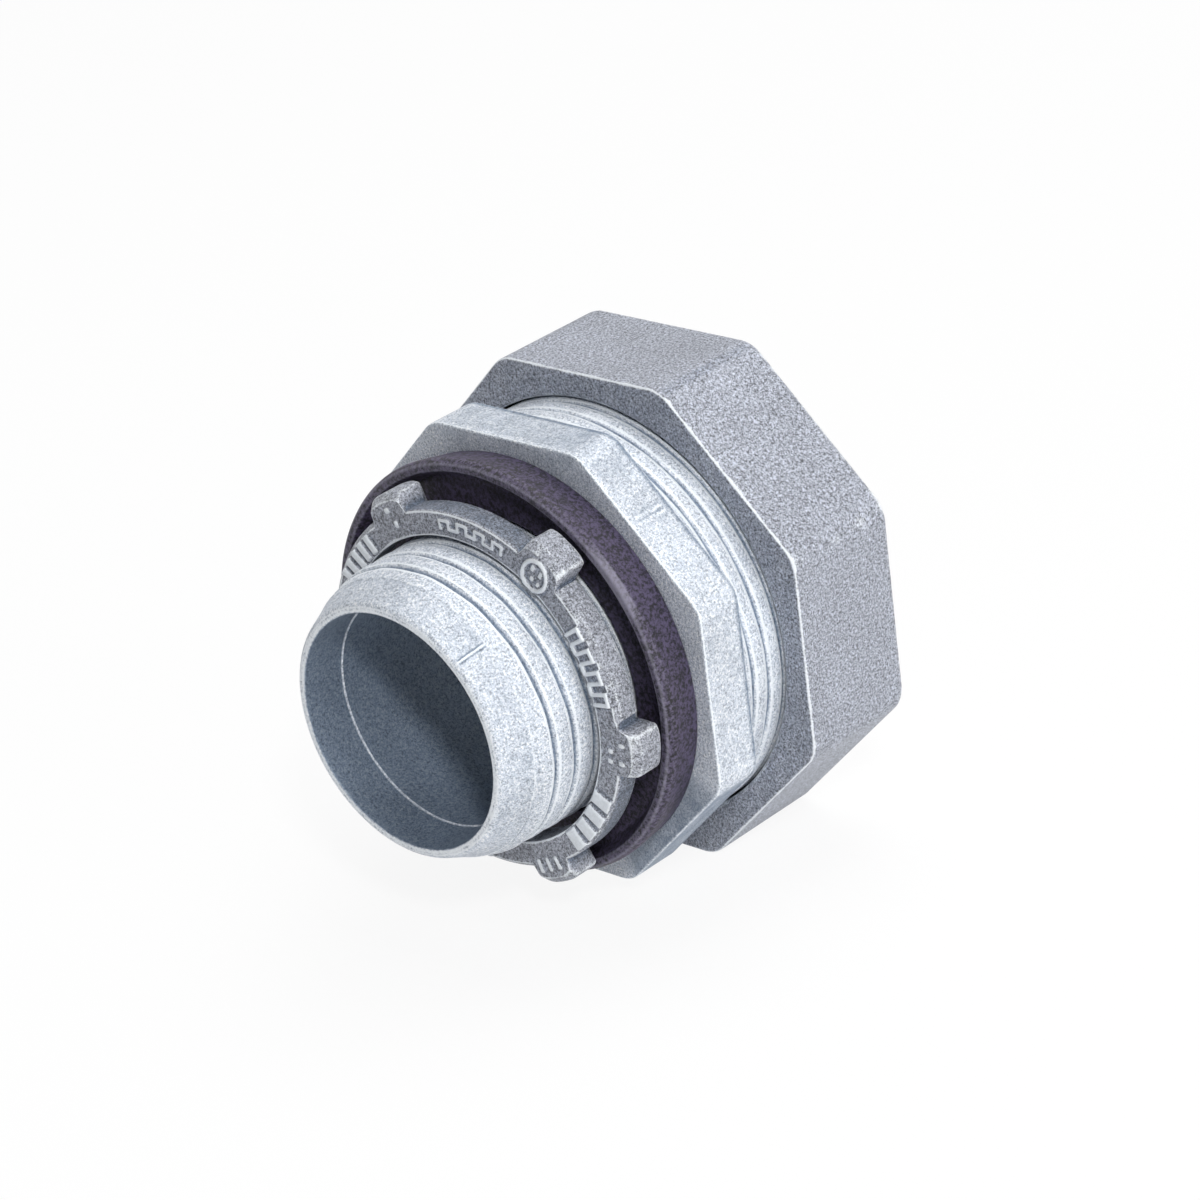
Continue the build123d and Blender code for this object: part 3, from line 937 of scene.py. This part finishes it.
class CONNECTOR_OT_stage(bpy.types.Operator):
    """Make the floor, the lights and the camera"""

    bl_idname = "connector.stage"
    bl_label = "Stage"

    def execute(self, context):
        stage = context.scene.connector_stage
        self.make_floor(stage)
        self.make_world()
        aim = Vector(stage.camera_aim)
        self.make_camera(stage, aim)
        for light in LIGHTS:
            self.make_light(aim, *light)
        context.scene.view_settings.view_transform = "Standard"
        return {"FINISHED"}

    def make_floor(self, stage):
        """A large plain plane under the nut's lowest flat."""
        low = min(NUT_LOW.z, BODY_LOW.z)
        corners = np.array([(-1, -1, 0), (1, -1, 0), (1, 1, 0), (-1, 1, 0)]) * FLOOR_HALF_WIDTH
        corners[:, 2] = low
        floor = mesh_piece("floor", corners, np.array([[0, 1, 2, 3]]))
        material, tree, shader = principled("floor_paint")
        paint = tree.blend(tree.seen(), tone(stage.floor_colour), shade(1.0))
        feed(tree, shader, Base_Color=paint, Roughness=0.9)
        nodes, links = material.node_tree.nodes, material.node_tree.links
        glow = tree.node("ShaderNodeEmission", {}, {"Color": shade(1.0), "Strength": 1.0})
        mixed = tree.node("ShaderNodeMixShader", {}, {0: tree.seen() * FLOOR_GLOW})
        links.new(shader.outputs[0], mixed.socket.node.inputs[1])
        links.new(glow.socket, mixed.socket.node.inputs[2])
        output = next(node for node in nodes if node.type == "OUTPUT_MATERIAL")
        links.new(mixed.socket, output.inputs["Surface"])
        floor.data.materials.append(material)

    def make_world(self):
        """Soft grey light all round, darker ahead of the nose, and white where the camera sees it."""
        world = bpy.data.worlds.new("studio")
        world.use_nodes = True
        bpy.context.scene.world = world
        tree = Tree(world.node_tree)
        nodes, links = world.node_tree.nodes, world.node_tree.links
        nodes.clear()
        along = tree.node("ShaderNodeTexCoord", output="Generated")
        ahead = tree.node("ShaderNodeSeparateXYZ", {}, {"Vector": along}, "X")
        level = tree.node("ShaderNodeMapRange", {"interpolation_type": "SMOOTHSTEP"}, {
            "Value": ahead, "From Min": -0.4, "From Max": 0.5, "To Min": 0.45, "To Max": 0.01,
        })
        seen = tree.seen()
        strength = level + seen * (1 - level)
        background = tree.node("ShaderNodeBackground", {}, {"Color": shade(1.0), "Strength": strength})
        output = nodes.new("ShaderNodeOutputWorld")
        links.new(background.socket, output.inputs["Surface"])

    def make_light(self, aim, name, azimuth, elevation, width, height, level):
        """A soft rectangular light at an azimuth and elevation about the aim point, facing it. At a
        level of 1, a surface there that faces it shows its colour as written."""
        turn, lift = math.radians(azimuth), math.radians(elevation)
        flat = math.cos(lift)
        away = Vector((math.cos(turn) * flat, math.sin(turn) * flat, math.sin(lift)))
        data = bpy.data.lights.new(name, "AREA")
        data.shape = "RECTANGLE"
        data.size, data.size_y = width, height
        data.energy = level * (math.pi * LIGHT_REACH) ** 2
        light = bpy.data.objects.new(name, data)
        light.location = aim + away * LIGHT_REACH
        light.rotation_euler = away.to_track_quat("Z", "Y").to_euler()
        bpy.context.scene.collection.objects.link(light)

    def make_camera(self, stage, aim):
        """The camera, turned to its azimuth, elevation and roll round the aim point."""
        azimuth, elevation = stage.camera_azimuth, stage.camera_elevation
        back = Vector((
            math.sin(azimuth) * math.cos(elevation),
            -math.cos(azimuth) * math.cos(elevation),
            math.sin(elevation),
        ))
        data = bpy.data.cameras.new("camera")
        data.lens = stage.lens
        data.sensor_width = 36.0
        data.clip_start, data.clip_end = 0.01, 20.0
        camera = bpy.data.objects.new("camera", data)
        right = Vector((0, 0, 1)).cross(back).normalized()
        level = Matrix((right, back.cross(right), back)).transposed()
        roll = Matrix.Rotation(stage.camera_roll, 3, "Z")
        place = Matrix.Translation(aim + back * stage.camera_distance)
        camera.matrix_world = place @ (level @ roll).to_4x4()
        bpy.context.scene.collection.objects.link(camera)
        bpy.context.scene.camera = camera


class CONNECTOR_PT_panel(bpy.types.Panel):
    """Lists the connector's pieces and their settings in the sidebar"""

    bl_label = "Conduit connector"
    bl_idname = "CONNECTOR_PT_panel"
    bl_space_type = "VIEW_3D"
    bl_region_type = "UI"
    bl_category = "Connector"

    def draw(self, context):
        for operator in PIECE_OPERATORS:
            self.layout.operator(operator.bl_idname)
        for name, settings in SETTINGS:
            box = self.layout.box()
            box.label(text=settings.__name__)
            for key in settings.__annotations__:
                box.prop(getattr(context.scene, name), key)


PIECE_OPERATORS = (
    CONNECTOR_OT_body,
    CONNECTOR_OT_compression_nut,
    CONNECTOR_OT_locknut,
    CONNECTOR_OT_gasket,
    CONNECTOR_OT_inner_parts,
    CONNECTOR_OT_stage,
)
SETTINGS = (
    ("connector_body", ConnectorBodySettings),
    ("connector_nut", CompressionNutSettings),
    ("connector_locknut", LocknutSettings),
    ("connector_gasket", GasketSettings),
    ("connector_finish", ConnectorFinishSettings),
    ("connector_stage", ConnectorStageSettings),
)


def register():
    for _, settings in SETTINGS:
        bpy.utils.register_class(settings)
    for kind in PIECE_OPERATORS + (CONNECTOR_PT_panel,):
        bpy.utils.register_class(kind)
    for name, settings in SETTINGS:
        setattr(bpy.types.Scene, name, PointerProperty(type=settings))


def unregister():
    for name, _ in SETTINGS:
        delattr(bpy.types.Scene, name)
    for kind in (CONNECTOR_PT_panel,) + PIECE_OPERATORS[::-1]:
        bpy.utils.unregister_class(kind)
    for _, settings in reversed(SETTINGS):
        bpy.utils.unregister_class(settings)


def main():
    """Makes every piece in order."""
    register()
    bpy.ops.connector.body()
    bpy.ops.connector.compression_nut()
    bpy.ops.connector.locknut()
    bpy.ops.connector.gasket()
    bpy.ops.connector.inner_parts()
    bpy.ops.connector.stage()


if __name__ == "__main__":
    main()
